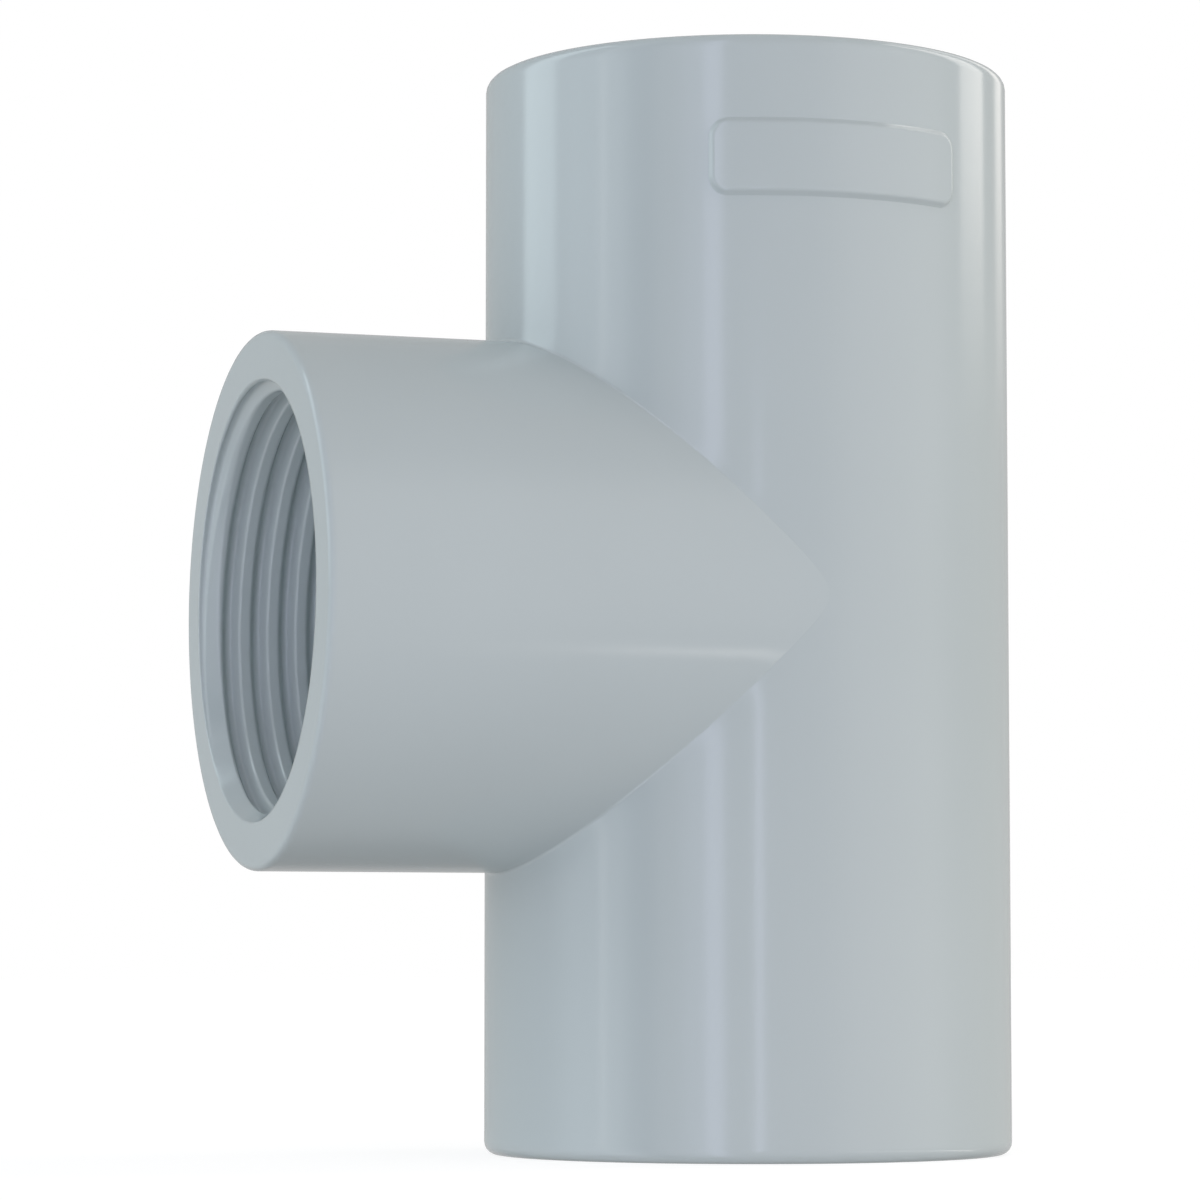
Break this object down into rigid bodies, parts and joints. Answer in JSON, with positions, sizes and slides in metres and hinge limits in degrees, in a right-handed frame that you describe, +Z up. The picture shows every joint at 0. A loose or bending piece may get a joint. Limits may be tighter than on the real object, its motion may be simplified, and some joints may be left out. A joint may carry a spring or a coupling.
{
  "type": "threaded branch pipe tee",
  "caption": "Plastic pipe tee: a straight run with a plain solvent-cement socket at each end, and a side branch at its middle with a female taper pipe thread.",
  "frame": {"origin": "centre of the bounding box's base: the fitting stands on the lower end of its run, and the run's axis is at x = +7.725 mm", "axes": "+Z up along the run, -X out of the threaded branch, +Y across the fitting, away from the raised pad"},
  "size_m": [0.0482, 0.033, 0.0672],
  "materials": {
    "pvc": "blue-grey rigid PVC as moulded, even satin gloss, darker in the thread"
  },
  "bodies": {
    "root": {"tee_body": "pvc"}
  },
  "joints": []
}
